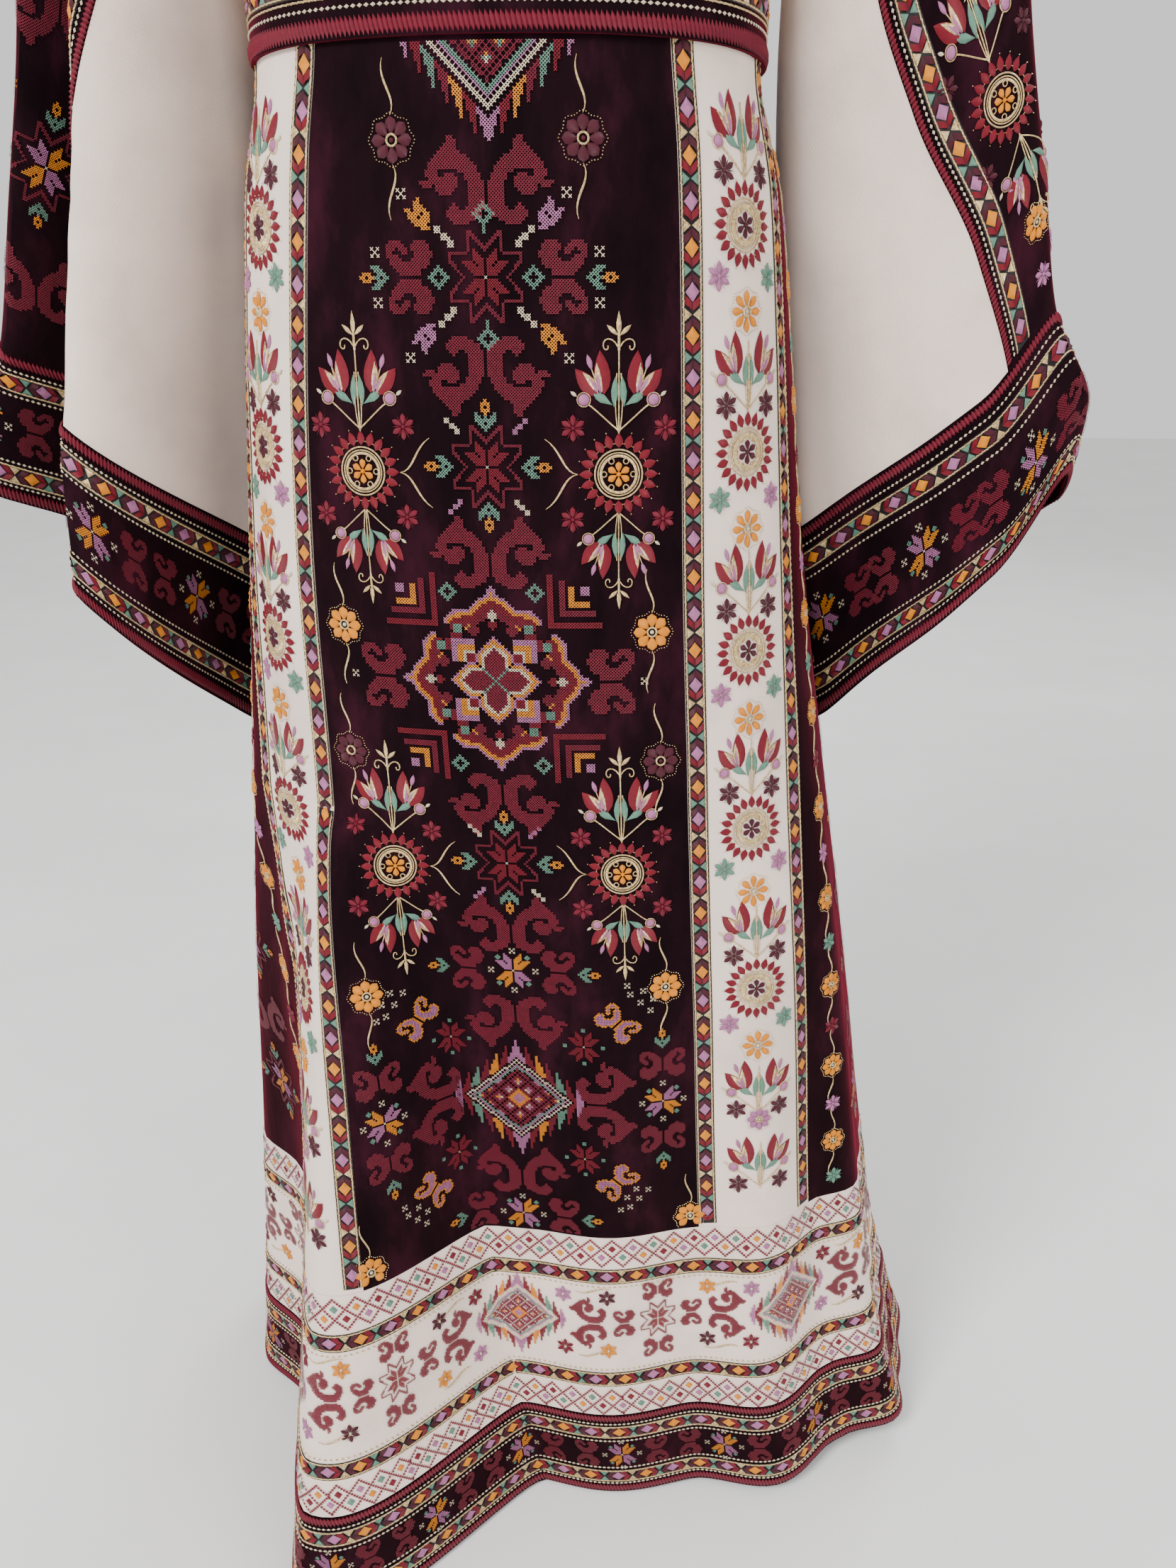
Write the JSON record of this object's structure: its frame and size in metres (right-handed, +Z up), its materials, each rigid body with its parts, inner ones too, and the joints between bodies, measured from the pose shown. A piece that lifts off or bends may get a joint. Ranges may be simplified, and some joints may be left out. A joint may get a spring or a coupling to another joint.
{
  "type": "thobe",
  "caption": "Long panelled thobe in velvet and crepe with wide winged sleeves, an embroidered border round the hem and a stiff belt, hanging open and hollow as on a wearer.",
  "frame": {"origin": "middle of the neck opening on the line of the shoulder seams, where the garment hangs from the wearer or a hanger", "axes": "+Z up along the garment, -Y is the front, +X is the wearer's left"},
  "size_m": [0.74, 0.4507, 1.4859],
  "materials": {
    "velvet": "short pile with a burgundy sheen",
    "crepe": "matt, fine diagonal twill",
    "belt": "stiff, closely stitched"
  },
  "bodies": {
    "root": {"front_panel": "velvet", "back_panel": "velvet", "front_strip_left": "crepe", "front_strip_right": "crepe", "side_panel_left": "velvet", "side_panel_right": "velvet", "hem_border_front": "crepe", "hem_border_back": "crepe", "hem_band_front": "velvet", "hem_band_back": "velvet", "belt": "belt", "sleeve_left": "crepe", "sleeve_panel_left": "velvet", "cuff_left": "velvet", "sleeve_right": "crepe", "sleeve_panel_right": "velvet", "cuff_right": "velvet"}
  },
  "joints": []
}
